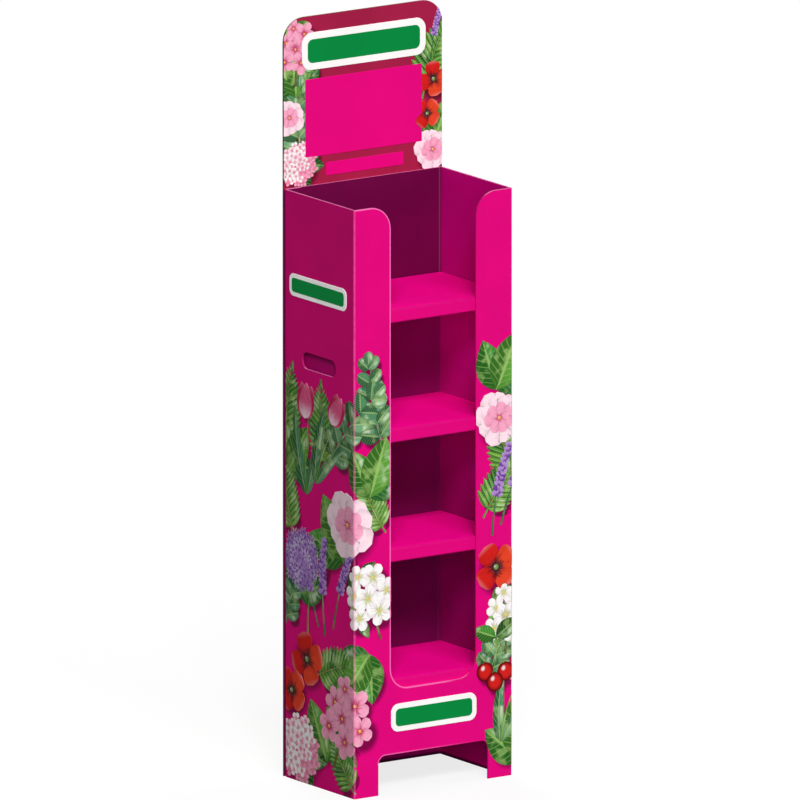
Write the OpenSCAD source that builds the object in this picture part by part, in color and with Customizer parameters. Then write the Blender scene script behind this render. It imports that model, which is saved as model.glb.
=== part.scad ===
// Floor display stand folded from printed corrugated board.
// An outer wrap with a front window, a tall back card that ends in the header, and four shelves
// that stand on U-shaped risers inside the wrap. Millimetres.
// The front faces -Y, the floor is Z = 0, and the origin is the middle of the footprint.

/* [Board] */
// Thickness of the corrugated board
board_t = 4; // [3:0.5:5]
// Play between pieces that nest in each other
fit_gap = 0.5; // [0.3:0.1:0.8]

/* [Outer wrap] */
// Width of the wrap
body_w = 400; // [340:5:480]
// Depth of the wrap, without the back card
body_d = 260; // [220:5:320]
// Height of the walls above the top shelf
top_wall_h = 223; // [150:1:300]
// Width of the glue flap inside the back panel
flap_w = 35; // [25:1:45]

/* [Front window] */
// Width of the front strip on each side of the window
strip_w = 92; // [70:1:110]
// Drop of the window's sill below the lowest shelf
sill_drop = 21; // [5:1:30]
// Radius of the window's lower corners
sill_r = 45; // [20:1:60]
// Radius of the strips' upper inner corners
strip_r = 50; // [20:1:60]

/* [Feet] */
// Width of each front foot
foot_w = 61; // [40:1:80]
// Height of the arch between the front feet
arch_h = 84; // [50:1:110]
// Radius of the arch's upper corners
arch_r = 18; // [5:1:30]

/* [Hand holes] */
// Length of the hand hole in each side
grip_l = 126; // [100:1:140]
// Height of the hand hole
grip_h = 36; // [28:1:44]
// Height of the hand hole's centre above the shelf below it
grip_up = 127; // [100:1:150]

/* [Shelves] */
// Height of the lowest shelf's top above the floor
plinth_h = 244; // [200:1:280]
// Rise from the lowest shelf to the next
first_tier_h = 279; // [240:1:320]
// Rise from each further shelf to the next
tier_h = 255; // [230:1:290]
// Height of the rolled front lip
lip_h = 30; // [18:1:40]
// Height of the flanges at the sides and the back
flange_h = 25; // [15:1:35]
// Relief cut beside each end of a flange
relief = 3; // [1:0.5:6]

/* [Header] */
// Height of the header above the wrap
header_h = 360; // [250:1:420]
// Radius of the header's upper corners
header_r = 50; // [20:1:80]

/* [Hidden] */
$fn = 64;

// Overlap of a cutter past the face that it cuts
cut = 1;

// Tops of the shelves, from the lowest up, and what follows from them
shelf_tops = [
  plinth_h,
  plinth_h + first_tier_h,
  plinth_h + first_tier_h + tier_h,
  plinth_h + first_tier_h + 2 * tier_h
];
body_h = shelf_tops[3] + top_wall_h;
sill_z = shelf_tops[0] - sill_drop;
grip_z = shelf_tops[2] + grip_up;

// Outer faces of the wrap, with the back card behind it counted in the footprint
y_front = -(body_d + board_t) / 2;
y_back = y_front + body_d;

// Crease lines of the wrap: each fold rolls round its inner crease
crease_x = body_w / 2 - board_t;
crease_front = y_front + board_t;
crease_back = y_back - board_t;
crease_flap = crease_back - board_t;

// Shelf outline inside the wrap, and its own crease lines
shelf_x = crease_x - fit_gap;
shelf_front = crease_front + fit_gap;
shelf_back = crease_back - fit_gap;
shelf_crease_x = shelf_x - board_t;
shelf_crease_front = shelf_front + board_t;
shelf_crease_back = shelf_back - board_t;

// Riser outline inside the shelf's flanges, behind the rolled lip
riser_x = shelf_crease_x - fit_gap;
riser_front = shelf_front + 2 * board_t + fit_gap;
riser_back = shelf_crease_back - fit_gap;

// Print colours
magenta = "#e6007d";
plum = "#960052";
crimson = "#a01c44";

// Quarter disc of board that a fold leaves, towards the given signs of x and y
module fold(x_sign, y_sign) {
  intersection() {
    circle(r = board_t);
    translate([min(x_sign, 0) * board_t, min(y_sign, 0) * board_t]) square(board_t);
  }
}

// Upright plate from an outline in X and Z, its front face at y
module upright(y, thickness) {
  translate([0, y + thickness, 0]) rotate([90, 0, 0]) linear_extrude(thickness) children();
}

// Slot with round ends through both side walls, centred on their depth
module grip_cutter() {
  translate([-body_w / 2 - cut, (y_front + y_back) / 2, grip_z]) rotate([90, 0, 90])
    linear_extrude(body_w + 2 * cut) {
      square([grip_l - grip_h, grip_h], center = true);
      for (side = [-1, 1])
        translate([side * (grip_l - grip_h) / 2, 0]) circle(d = grip_h);
    }
}

// Plan of the folded wrap: front, two sides, back and the glue flap at the left rear corner
module wrap_plan() {
  translate([-crease_x, y_front]) square([2 * crease_x, board_t]);
  translate([-crease_x, crease_back]) square([2 * crease_x, board_t]);
  translate([-body_w / 2, crease_front]) square([board_t, crease_flap - crease_front]);
  translate([crease_x, crease_front]) square([board_t, crease_back - crease_front]);
  translate([-crease_x, crease_flap]) square([flap_w, board_t]);
  translate([-crease_x, crease_front]) fold(-1, -1);
  translate([crease_x, crease_front]) fold(1, -1);
  translate([-crease_x, crease_flap]) fold(-1, 1);
  translate([crease_x, crease_back]) fold(1, 1);
}

// Window between the front strips, open at the top, with its strips rounded off there
module window_outline() {
  half = body_w / 2 - strip_w;
  translate([-half, sill_z + sill_r]) square([2 * half, body_h + cut - sill_z - sill_r]);
  translate([sill_r - half, sill_z]) square([2 * (half - sill_r), sill_r + cut]);
  for (side = [-1, 1]) {
    translate([side * (half - sill_r), sill_z + sill_r]) circle(r = sill_r);
    difference() {
      translate([side * (half + strip_r / 2), body_h - strip_r / 2])
        square(strip_r, center = true);
      translate([side * (half + strip_r), body_h - strip_r]) circle(r = strip_r);
    }
  }
}

// Arch between the front feet
module arch_outline() {
  half = body_w / 2 - foot_w;
  translate([-half, -cut]) square([2 * half, arch_h - arch_r + cut]);
  translate([arch_r - half, 0]) square([2 * (half - arch_r), arch_h]);
  for (side = [-1, 1])
    translate([side * (half - arch_r), arch_h - arch_r]) circle(r = arch_r);
}

// The printed outer sheet, die-cut, folded and glued into a tube
module outer_wrap() {
  color(magenta) difference() {
    linear_extrude(body_h) wrap_plan();
    upright(y_front - cut, board_t + 2 * cut) window_outline();
    upright(y_front - cut, board_t + 2 * cut) arch_outline();
    grip_cutter();
  }
}

// The back card, glued behind the wrap, with the header as its upper end
module header_card() {
  top = body_h + header_h;
  color(crimson) upright(y_back, board_t) {
    translate([-body_w / 2, 0]) square([body_w, top - header_r]);
    translate([header_r - body_w / 2, 0]) square([body_w - 2 * header_r, top]);
    for (side = [-1, 1])
      translate([side * (body_w / 2 - header_r), top - header_r]) circle(r = header_r);
  }
}

// Plan of a riser: a back and two wings, folded from one strip
module riser_plan() {
  wing_x = riser_x - board_t;
  crease = riser_back - board_t;
  translate([-wing_x, crease]) square([2 * wing_x, board_t]);
  for (side = [-1, 1]) {
    translate([side * (riser_x - board_t / 2), (riser_front + crease) / 2])
      square([board_t, crease - riser_front], center = true);
    translate([side * wing_x, crease]) fold(side, 1);
  }
}

// A riser from what it stands on up to the underside of its shelf
module riser(level) {
  foot = level == 0 ? 0 : shelf_tops[level - 1];
  head = shelf_tops[level] - board_t;
  color(plum) translate([0, 0, foot]) linear_extrude(head - foot) riser_plan();
}

// Section of the shelf's panel and front lip: folded down, then rolled back up under the panel
module panel_section(top) {
  hem = top - lip_h + board_t;
  translate([shelf_crease_front, top - board_t])
    square([shelf_crease_back - shelf_crease_front, board_t]);
  translate([shelf_crease_front, top - board_t]) fold(-1, 1);
  translate([shelf_front, hem]) square([2 * board_t, top - board_t - hem]);
  intersection() {
    translate([shelf_crease_front, hem]) circle(r = board_t);
    translate([shelf_front, hem - board_t]) square([2 * board_t, board_t]);
  }
}

// Section of a flange that hangs from a fold at the crease, with the edge of its panel
module flange_section(crease, side, top) {
  translate([crease - (side < 0 ? 0 : board_t), top - board_t]) square(board_t);
  translate([crease, top - board_t]) fold(side, 1);
  translate([crease + (side < 0 ? -board_t : 0), top - flange_h])
    square([board_t, flange_h - board_t]);
}

// A bar of the given section in Y and Z, from one X to another
module along_x(from, to) {
  translate([from, 0, 0]) rotate([90, 0, 90]) linear_extrude(to - from) children();
}

// A bar of the given section in X and Z, from one Y to another
module along_y(from, to) {
  translate([0, to, 0]) rotate([90, 0, 0]) linear_extrude(to - from) children();
}

// A shelf: a panel with a rolled front lip, two side flanges and a back flange clear of the glue flap
module shelf(level) {
  top = shelf_tops[level];
  flange_start = flap_w + relief - crease_x;
  color(magenta) {
    along_x(-shelf_crease_x, shelf_crease_x) panel_section(top);
    along_x(flange_start, shelf_crease_x - relief) flange_section(shelf_crease_back, 1, top);
    for (side = [-1, 1])
      along_y(riser_front + relief, shelf_crease_back - relief)
        flange_section(side * shelf_crease_x, side, top);
  }
}

outer_wrap();
header_card();
riser(0);  // riser_1
riser(1);  // riser_2
riser(2);  // riser_3
riser(3);  // riser_4
shelf(0);  // shelf_1
shelf(1);  // shelf_2
shelf(2);  // shelf_3
shelf(3);  // shelf_4
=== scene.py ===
import math
import random

import bmesh
import bpy
from mathutils import Matrix, Vector


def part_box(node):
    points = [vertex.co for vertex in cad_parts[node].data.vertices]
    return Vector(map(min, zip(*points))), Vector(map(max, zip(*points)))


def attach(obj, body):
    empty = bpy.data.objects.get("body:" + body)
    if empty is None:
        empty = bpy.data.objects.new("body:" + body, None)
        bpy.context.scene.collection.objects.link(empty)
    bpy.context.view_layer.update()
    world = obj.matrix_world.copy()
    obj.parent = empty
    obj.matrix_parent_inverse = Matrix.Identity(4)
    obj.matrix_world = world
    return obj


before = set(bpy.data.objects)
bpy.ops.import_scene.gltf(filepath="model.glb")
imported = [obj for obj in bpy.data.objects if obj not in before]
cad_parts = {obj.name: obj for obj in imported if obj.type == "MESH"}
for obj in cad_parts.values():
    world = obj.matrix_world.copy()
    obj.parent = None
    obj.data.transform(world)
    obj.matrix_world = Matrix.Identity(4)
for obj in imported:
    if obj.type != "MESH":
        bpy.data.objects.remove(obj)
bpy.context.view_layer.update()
rng = random.Random(11)

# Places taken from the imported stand, in metres
MM = 0.001
wrap_low, wrap_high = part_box("outer_wrap")
card_low, card_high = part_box("header_card")
LEFT, FRONT = wrap_low.x, wrap_low.y
RIGHT, BACK, RIM = wrap_high.x, wrap_high.y, wrap_high.z
TOP = card_high.z
BOARD = card_high.y - card_low.y
RISER_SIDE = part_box("riser_1")[1].x - BOARD
SHELF_TOPS = [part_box(f"shelf_{tier}")[1].z for tier in range(1, 5)]

# Sizes of the die cut and the board, and places on the wrap laid flat, from the middle of its front
STRIP = 92 * MM
STRIP_R = 50 * MM
SILL = 223 * MM
SILL_R = 45 * MM
FOOT = 61 * MM
ARCH = 84 * MM
ARCH_R = 18 * MM
HEADER_R = 50 * MM
FLUTE = 7.2 * MM
FOLD_R = BOARD
FOLD_STEPS = 5
SIDE_START = RIGHT - FOLD_R + FOLD_R * math.pi / 2
REAR_EDGE = SIDE_START + (BACK - FRONT - 2 * FOLD_R) - BOARD
SKIN = 0.5 * MM
HAIR = 0.1 * MM

# Inks and bare boards, linear
MAGENTA = (0.75, 0.0, 0.195)
# Painted light: a brighter ink for the shelves' tops
SHELF_TOP_LIT_PINK = (1.0, 0.0, 0.29)
# Painted shade: the wrap's inside, and deeper for its inner rear wall and the card's hidden front
INSIDE_SHADE_PLUM = (0.475, 0.0, 0.185)
DEEP_SHADE_PLUM = (0.13, 0.0, 0.048)
# Painted light and shade for the risers: bright wings, a deep rear wall and a lighter base
RISER_WING_LIT_INK = (0.96, 0.0, 0.46)
RISER_REAR_SHADE_INK = (0.4, 0.0, 0.21)
RISER_REAR = (0.37, 0.0, 0.12)
RISER_BASE_LIT_INK = (0.8, 0.0, 0.3)
CRIMSON = (0.362, 0.011, 0.058)
# Painted highlight along the die cut's rim
RIM_HIGHLIGHT_PINK = (1.0, 0.17, 0.52)
FOLD_PINK = (0.80, 0.13, 0.38)
EDGE_PAPER = (0.93, 0.23, 0.52)
# Painted shade for the upright cut edges
EDGE_SHADE_INK = (0.50, 0.01, 0.14)
KRAFT = (0.46, 0.295, 0.155)
RUBBED_KRAFT = (0.66, 0.48, 0.3)

# Tones that an ink is multiplied by: painted shade on the sides, shelves and risers, painted light at the
# risers' base, and the print's own darker streaks, leaves and shades
SIDE_SHADE_TONE = (0.75, 0.75, 0.75)
SHELF_FOLD_SHADE_TONE = (0.64, 0.64, 0.64)
TOP_SHELF_SHADE_TONE = (0.93, 0.93, 0.95)
BASE_WING_LIT_TONE = (1.0, 1.0, 0.62)
LOWER_WING_SHADE_TONE = (0.42, 0.42, 0.42)
LOWER_REAR_SHADE_TONE = (0.56, 0.56, 0.58)
FOOTING_SHADE_TONE = (0.62, 0.62, 0.52)
FLOOR_LINE_SHADE_TONE = (0.2, 0.2, 0.3)
STREAK_TONE = (0.72, 0.6, 0.66)
DIM_LEAF_TONE = (0.34, 0.42, 0.36)
SHADE_TONE = (0.28, 0.28, 0.32)

# Wear: how much of the ink is gone at a fold; how strong the painted highlight along the die cut is, and its
# width
FOLD_WEAR, RIM_HIGHLIGHT = 0.44, 0.9
RIM_FADE, RIM_WIDE = 2.8 * MM, 1.8 * MM


def srgb(red, green, blue):
    """Linear colour of an sRGB one, which is given in levels from 0 to 255."""
    levels = (red / 255, green / 255, blue / 255)
    return tuple(c / 12.92 if c <= 0.04045 else ((c + 0.055) / 1.055) ** 2.4 for c in levels)


def deeper(colour, share):
    """A colour with only a share of its light."""
    return tuple(part * share for part in colour)


LEAF_GREENS = (srgb(64, 140, 50), srgb(92, 156, 58), srgb(38, 104, 46), srgb(112, 168, 66))
BLUE_GREENS = (srgb(70, 132, 92), srgb(104, 158, 116), srgb(48, 108, 76))
LEAF_LIGHT, LEAF_SHEEN = srgb(198, 224, 140), srgb(222, 238, 206)
PALE_PINK, MID_PINK, ROSE = srgb(252, 222, 232), srgb(246, 164, 194), srgb(226, 92, 138)
DEEP_ROSE, RED, ORANGE_RED = srgb(196, 34, 92), srgb(206, 30, 26), srgb(226, 66, 38)
LILAC, VIOLET, PALE_LILAC = srgb(180, 142, 210), srgb(116, 66, 160), srgb(216, 198, 234)
WHITE, CREAM, GOLD = srgb(250, 248, 246), srgb(244, 236, 190), srgb(238, 190, 60)
LIME_THROAT, POPPY_EYE, CHERRY_SHADE = srgb(206, 214, 150), srgb(128, 150, 84), srgb(84, 0, 10)
TWIG, NIGHT = srgb(110, 84, 50), srgb(34, 20, 30)
LABEL_GREEN = srgb(0, 132, 60)


# Shader nodes

class Nodes:
    """Short names for the nodes of a shader tree; each gives the new node's result."""

    def __init__(self, tree):
        self.tree = tree

    def feed(self, socket, value):
        """Join a socket to another node's result, or set it to a number, a colour or a vector."""
        if isinstance(value, bpy.types.NodeSocket):
            self.tree.links.new(value, socket)
        elif isinstance(value, tuple) and len(value) < len(socket.default_value):
            socket.default_value = (*value, 1.0)
        else:
            socket.default_value = value

    def add(self, kind, inputs=None, **settings):
        """A new node with its settings and its fed sockets."""
        node = self.tree.nodes.new(kind)
        for name, value in settings.items():
            setattr(node, name, value)
        for key, value in (inputs or {}).items():
            self.feed(node.inputs[key], value)
        return node

    def math(self, operation, *values):
        return self.add("ShaderNodeMath", dict(enumerate(values)), operation=operation).outputs[0]

    def chain(self, operation, values):
        result = values[0]
        for value in values[1:]:
            result = self.math(operation, result, value)
        return result

    def times(self, *values):
        return self.chain("MULTIPLY", values)

    def largest(self, *values):
        return self.chain("MAXIMUM", values)

    def smallest(self, *values):
        return self.chain("MINIMUM", values)

    def plus(self, value, more):
        return self.math("ADD", value, more)

    def minus(self, value, less):
        return self.math("SUBTRACT", value, less)

    def scaled(self, value, by, start):
        return self.math("MULTIPLY_ADD", value, by, start)

    def size(self, value):
        return self.math("ABSOLUTE", value)

    def over(self, value, limit):
        return self.math("GREATER_THAN", value, limit)

    def under(self, value, limit):
        return self.math("LESS_THAN", value, limit)

    def distance(self, across, up):
        return self.math("SQRT", self.plus(self.times(across, across), self.times(up, up)))

    def ramp(self, value, low, high):
        """0 at low, 1 at high, smooth between; low may be the larger."""
        span = {0: value, 1: low, 2: high}
        return self.add("ShaderNodeMapRange", span, interpolation_type="SMOOTHSTEP").outputs[0]

    def noise(self, where, scale, detail, roughness=0.5):
        grain = {"Vector": where, "Scale": scale, "Detail": detail, "Roughness": roughness}
        return self.add("ShaderNodeTexNoise", grain).outputs["Fac"]

    def blend(self, share, first, second, mode="MIX"):
        """The first colour turning into the second as the share goes from 0 to 1."""
        colours = {0: share, 6: first, 7: second}
        return self.add("ShaderNodeMix", colours, data_type="RGBA", blend_type=mode).outputs[2]

    def deepen(self, share, ink, tone):
        """An ink multiplied by a tone, in full where the share is 1."""
        return self.blend(share, ink, tone, "MULTIPLY")


class Sheet(Nodes):
    """A sheet's material, with the place in the stand's frame and the way that the face looks."""

    def __init__(self, name):
        self.material = bpy.data.materials.new(name)
        self.material.use_nodes = True
        super().__init__(self.material.node_tree)
        self.surface = self.tree.nodes["Principled BSDF"]
        self.spot = self.add("ShaderNodeTexCoord").outputs["Object"]
        self.x, self.y, self.z = self.add("ShaderNodeSeparateXYZ", {0: self.spot}).outputs
        normal = self.add("ShaderNodeNewGeometry").outputs["True Normal"]
        self.face_x, self.face_y, self.face_z = self.add("ShaderNodeSeparateXYZ", {0: normal}).outputs

    def mottled(self, colour, depth=0.06):
        """An ink film that is a little uneven, in broad clouds."""
        share = self.ramp(self.noise(self.spot, 9.0, 4.0), 0.35, 0.7)
        return self.blend(share, deeper(colour, 1 - depth), colour)

    def coat(self, colour, roughness, gloss=0.1):
        """Set the surface's colour and how dull it is."""
        self.feed(self.surface.inputs["Base Color"], colour)
        self.feed(self.surface.inputs["Roughness"], roughness)
        self.feed(self.surface.inputs["Specular IOR Level"], gloss)

    def finish(self, colour, roughness=0.55):
        """Matt paper of this colour, with its tooth and the faint washboard of the flutes under it."""
        self.coat(colour, roughness)
        tooth = self.noise(self.spot, 900.0, 3.0)
        waves = self.add("ShaderNodeTexWave", {"Vector": self.spot, "Scale": 14.0, "Distortion": 0.4},
                         wave_type="BANDS", bands_direction="DIAGONAL")
        relief = self.scaled(waves.outputs["Fac"], 0.35, tooth)
        bump = self.add("ShaderNodeBump", {"Height": relief, "Strength": 0.12, "Distance": 0.4 * MM})
        self.feed(self.surface.inputs["Normal"], bump.outputs[0])
        return self.material


class Print(Sheet):
    """An ink's material, where u runs across a petal or leaf and v from its foot to its tip."""

    def __init__(self, name):
        super().__init__(name)
        uv = self.add("ShaderNodeUVMap", uv_map="UVMap").outputs[0]
        self.u, self.v, _ = self.add("ShaderNodeSeparateXYZ", {0: uv}).outputs
        self.off_middle = self.size(self.scaled(self.u, 2.0, -1.0))

    def own_tint(self, name):
        """The tint that a stamp carries under this name."""
        return self.add("ShaderNodeAttribute", attribute_name=name).outputs["Color"]


def fluted_edge(sheet, along, across, paper):
    """A cut edge: two liners with the flute's wave between them, and shade in the hollows."""
    wave = sheet.scaled(sheet.math("SINE", sheet.times(along, 2 * math.pi / FLUTE)), 0.34, 0.5)
    depth = sheet.math("DIVIDE", across, BOARD)
    off_wave = sheet.size(sheet.minus(depth, wave))
    off_liner = sheet.minus(0.5, sheet.size(sheet.minus(depth, 0.5)))
    hollow = sheet.smallest(sheet.ramp(off_wave, 0.06, 0.16), sheet.ramp(off_liner, 0.06, 0.12))
    fibre = sheet.noise(sheet.spot, 1500.0, 2.0)
    shade = sheet.scaled(fibre, 0.2, sheet.times(hollow, 0.5))
    return sheet.blend(shade, paper, deeper(paper, 0.35))


def die_cut_highlight(sheet):
    """1 along the painted highlight on the die cut's rim: the left strip's head and edge, the sill and the
    arch's head.
    """
    edge = LEFT + STRIP
    past_x = sheet.largest(sheet.minus(sheet.x, edge - STRIP_R), 0.0)
    past_z = sheet.largest(sheet.minus(sheet.z, RIM - STRIP_R), 0.0)
    head = sheet.times(
        sheet.ramp(sheet.distance(past_x, past_z), STRIP_R - RIM_FADE, STRIP_R - RIM_WIDE),
        sheet.under(sheet.x, edge + SKIN),
        sheet.over(sheet.z, SILL + SILL_R),
    )
    short_x = sheet.smallest(sheet.minus(sheet.x, edge + SILL_R), 0.0)
    short_z = sheet.smallest(sheet.minus(sheet.z, SILL + SILL_R), 0.0)
    sill = sheet.times(
        sheet.ramp(sheet.distance(short_x, short_z), SILL_R + RIM_FADE, SILL_R + RIM_WIDE),
        sheet.ramp(sheet.x, -edge - SILL_R, -edge - 2 * SILL_R),
    )
    past_foot = sheet.largest(sheet.minus(LEFT + FOOT + ARCH_R, sheet.x), 0.0)
    past_spring = sheet.minus(sheet.z, ARCH - ARCH_R)
    arch = sheet.times(
        sheet.ramp(sheet.distance(past_foot, past_spring), ARCH_R + RIM_FADE, ARCH_R + RIM_WIDE),
        sheet.over(past_spring, 0.0),
        sheet.ramp(sheet.x, -LEFT - FOOT, LEFT + FOOT),
        0.7,
    )
    on_front = sheet.times(sheet.under(sheet.face_y, -0.5), sheet.under(sheet.y, FRONT + SKIN))
    return sheet.times(on_front, sheet.largest(head, sill, arch))


def inner_corner_line(sheet, corner):
    """1 along a pale line beside an inner upright corner."""
    off = sheet.size(sheet.minus(sheet.size(sheet.x), corner - 4.5 * MM))
    return sheet.ramp(off, 2.2 * MM, 0.8 * MM)


def wear_and_painted_light(sheet, ink):
    """Ink with painted shade on the sides and a painted highlight along the die cut, and rubbed pale round
    the upright folds.
    """
    # Painted shade: the outside of the side panels is darker than the front.
    aside = sheet.ramp(sheet.times(sheet.x, sheet.face_x), 0.12, 0.18)
    ink = sheet.deepen(aside, ink, SIDE_SHADE_TONE)
    turned_x = sheet.ramp(sheet.size(sheet.face_x), 0.1, 0.4)
    turned_y = sheet.ramp(sheet.size(sheet.face_y), 0.1, 0.4)
    patchy = sheet.ramp(sheet.noise(sheet.spot, 120.0, 4.0), 0.15, 0.6)
    ink = sheet.blend(sheet.times(turned_x, turned_y, patchy, FOLD_WEAR), ink, FOLD_PINK)
    # Painted highlight on the die cut's rim, on the edges that face right and up.
    return sheet.blend(sheet.times(die_cut_highlight(sheet), RIM_HIGHLIGHT), ink, RIM_HIGHLIGHT_PINK)


# Boards

def wrap_board():
    """Printed wrap: magenta outside, plum inside as painted shade, painted shade on the sides, a painted
    highlight on the die cut, rubbed pale folds, bare cut edges.
    """
    sheet = Sheet("wrap_board")
    from_middle = sheet.size(sheet.x)
    steep_x, steep_y, steep_z = [sheet.size(part) for part in (sheet.face_x, sheet.face_y, sheet.face_z)]
    in_front = sheet.under(sheet.y, FRONT + BOARD + HAIR)
    in_side = sheet.over(from_middle, RIGHT - BOARD - HAIR)
    in_back = sheet.over(sheet.y, BACK - 2 * BOARD + HAIR)
    off_corner = sheet.minus(1.0, in_side)
    mid_side = sheet.times(in_side, sheet.minus(1.0, in_front), sheet.minus(1.0, in_back))
    front_cut = sheet.times(in_front, off_corner, sheet.under(steep_y, 0.3))
    hand_hole_cut = sheet.times(mid_side, sheet.under(steep_x, 0.3))
    flap_cut = sheet.times(in_back, off_corner, sheet.under(sheet.x, 0.0), sheet.under(steep_y, 0.05))
    cut = sheet.largest(sheet.over(steep_z, 0.5), front_cut, hand_hole_cut, flap_cut)
    outward = sheet.scaled(sheet.x, sheet.face_x, sheet.times(sheet.y, sheet.face_y))
    outside = sheet.over(outward, 0.0)
    forward = sheet.under(sheet.face_y, -0.5)
    corner_line = sheet.times(inner_corner_line(sheet, RIGHT - BOARD), 0.1)
    # Painted shade: plum inside, deepest on the inner rear wall.
    rear_ink = sheet.blend(corner_line, sheet.mottled(DEEP_SHADE_PLUM, 0.1), EDGE_PAPER)
    inside_ink = sheet.blend(forward, sheet.mottled(INSIDE_SHADE_PLUM), rear_ink)
    ink = wear_and_painted_light(sheet, sheet.blend(outside, inside_ink, sheet.mottled(MAGENTA)))
    along = sheet.plus(sheet.times(sheet.x, off_corner), sheet.times(sheet.y, in_side))
    from_front, from_back = sheet.minus(sheet.y, FRONT), sheet.minus(BACK, sheet.y)
    across = sheet.smallest(from_front, from_back, sheet.minus(RIGHT, from_middle))
    flutes = fluted_edge(sheet, along, across, EDGE_PAPER)
    # Painted shade: upright cut edges are dark magenta; level ones show the pale fluted paper.
    edge = sheet.blend(sheet.ramp(steep_z, 0.75, 0.97), EDGE_SHADE_INK, flutes)
    return sheet.finish(sheet.blend(cut, ink, edge))


def kraft_liner(sheet):
    """Brown liner: fibres in clouds, faint stripes of painted shade along the flutes, long flecks and rubbed
    upright edges.
    """
    fibre = sheet.noise(sheet.spot, 420.0, 6.0, 0.7)
    cloud = sheet.noise(sheet.spot, 14.0, 4.0)
    tone = sheet.scaled(fibre, 0.6, sheet.times(cloud, 0.4))
    liner = sheet.blend(sheet.ramp(tone, 0.35, 0.65), deeper(KRAFT, 0.8), KRAFT)
    ridge = sheet.math("SINE", sheet.times(sheet.x, 2 * math.pi / FLUTE))
    # Painted shade: faint dark stripes along the flutes' washboard.
    liner = sheet.blend(sheet.times(sheet.ramp(ridge, 0.2, -1.0), 0.16), liner, NIGHT)
    upright_grain = {0: sheet.spot, 1: (1400.0, 1400.0, 240.0)}
    grain = sheet.add("ShaderNodeVectorMath", upright_grain, operation="MULTIPLY").outputs[0]
    fleck = sheet.ramp(sheet.noise(grain, 1.0, 2.0), 0.62, 0.72)
    liner = sheet.blend(sheet.times(fleck, 0.5), liner, deeper(KRAFT, 0.45))
    off_edge = sheet.minus(card_high.x, sheet.size(sheet.x))
    rubbed = sheet.times(sheet.ramp(off_edge, 9 * MM, 0.0), sheet.ramp(cloud, 0.4, 0.6), 0.35)
    return sheet.blend(rubbed, liner, RUBBED_KRAFT)


def card_board():
    """Back card: crimson print in front, plum painted shade where the wrap hides it, kraft behind, and kraft
    on its cut edges painted darker as shade, the upright ones most.
    """
    sheet = Sheet("card_board")
    front = sheet.under(sheet.face_y, -0.5)
    rear = sheet.over(sheet.face_y, 0.5)
    level = sheet.over(sheet.size(sheet.face_z), 0.5)
    across = sheet.minus(sheet.y, BACK)
    flutes = fluted_edge(sheet, sheet.x, across, deeper(KRAFT, 0.5))
    # Painted shade: the upright cut edges are a far darker kraft than the level ones.
    stripes = fluted_edge(sheet, 0.0, across, deeper(KRAFT, 0.2))
    edge = sheet.blend(level, stripes, flutes)
    # Painted shade: the card's front below the wrap's rim is dark plum.
    behind_wrap = sheet.ramp(sheet.z, RIM, RIM - BOARD)
    front_ink = sheet.blend(behind_wrap, sheet.mottled(CRIMSON, 0.12), DEEP_SHADE_PLUM)
    colour = sheet.blend(front, edge, front_ink)
    return sheet.finish(sheet.blend(rear, colour, kraft_liner(sheet)), 0.6)


def shelf_board():
    """Shelf: magenta, with a brighter ink on its top as painted light, and painted shade round its front
    fold and on the topmost shelf's top.
    """
    sheet = Sheet("shelf_board")
    upward = sheet.ramp(sheet.face_z, 0.3, 0.95)
    # Painted light: the top is brighter than the lip.
    ink = sheet.blend(upward, sheet.mottled(MAGENTA, 0.04), sheet.mottled(SHELF_TOP_LIT_PINK, 0.04))
    # Painted shade round the front fold, where it catches the light.
    turning = sheet.times(sheet.ramp(sheet.face_z, 0.1, 0.5), sheet.ramp(sheet.face_y, -0.1, -0.5))
    ink = sheet.deepen(turning, ink, SHELF_FOLD_SHADE_TONE)
    # Painted shade: the topmost shelf's top is a little darker.
    topmost = sheet.times(upward, sheet.over(sheet.z, SHELF_TOPS[3] - BOARD))
    return sheet.finish(sheet.deepen(topmost, ink, TOP_SHELF_SHADE_TONE))


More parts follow.
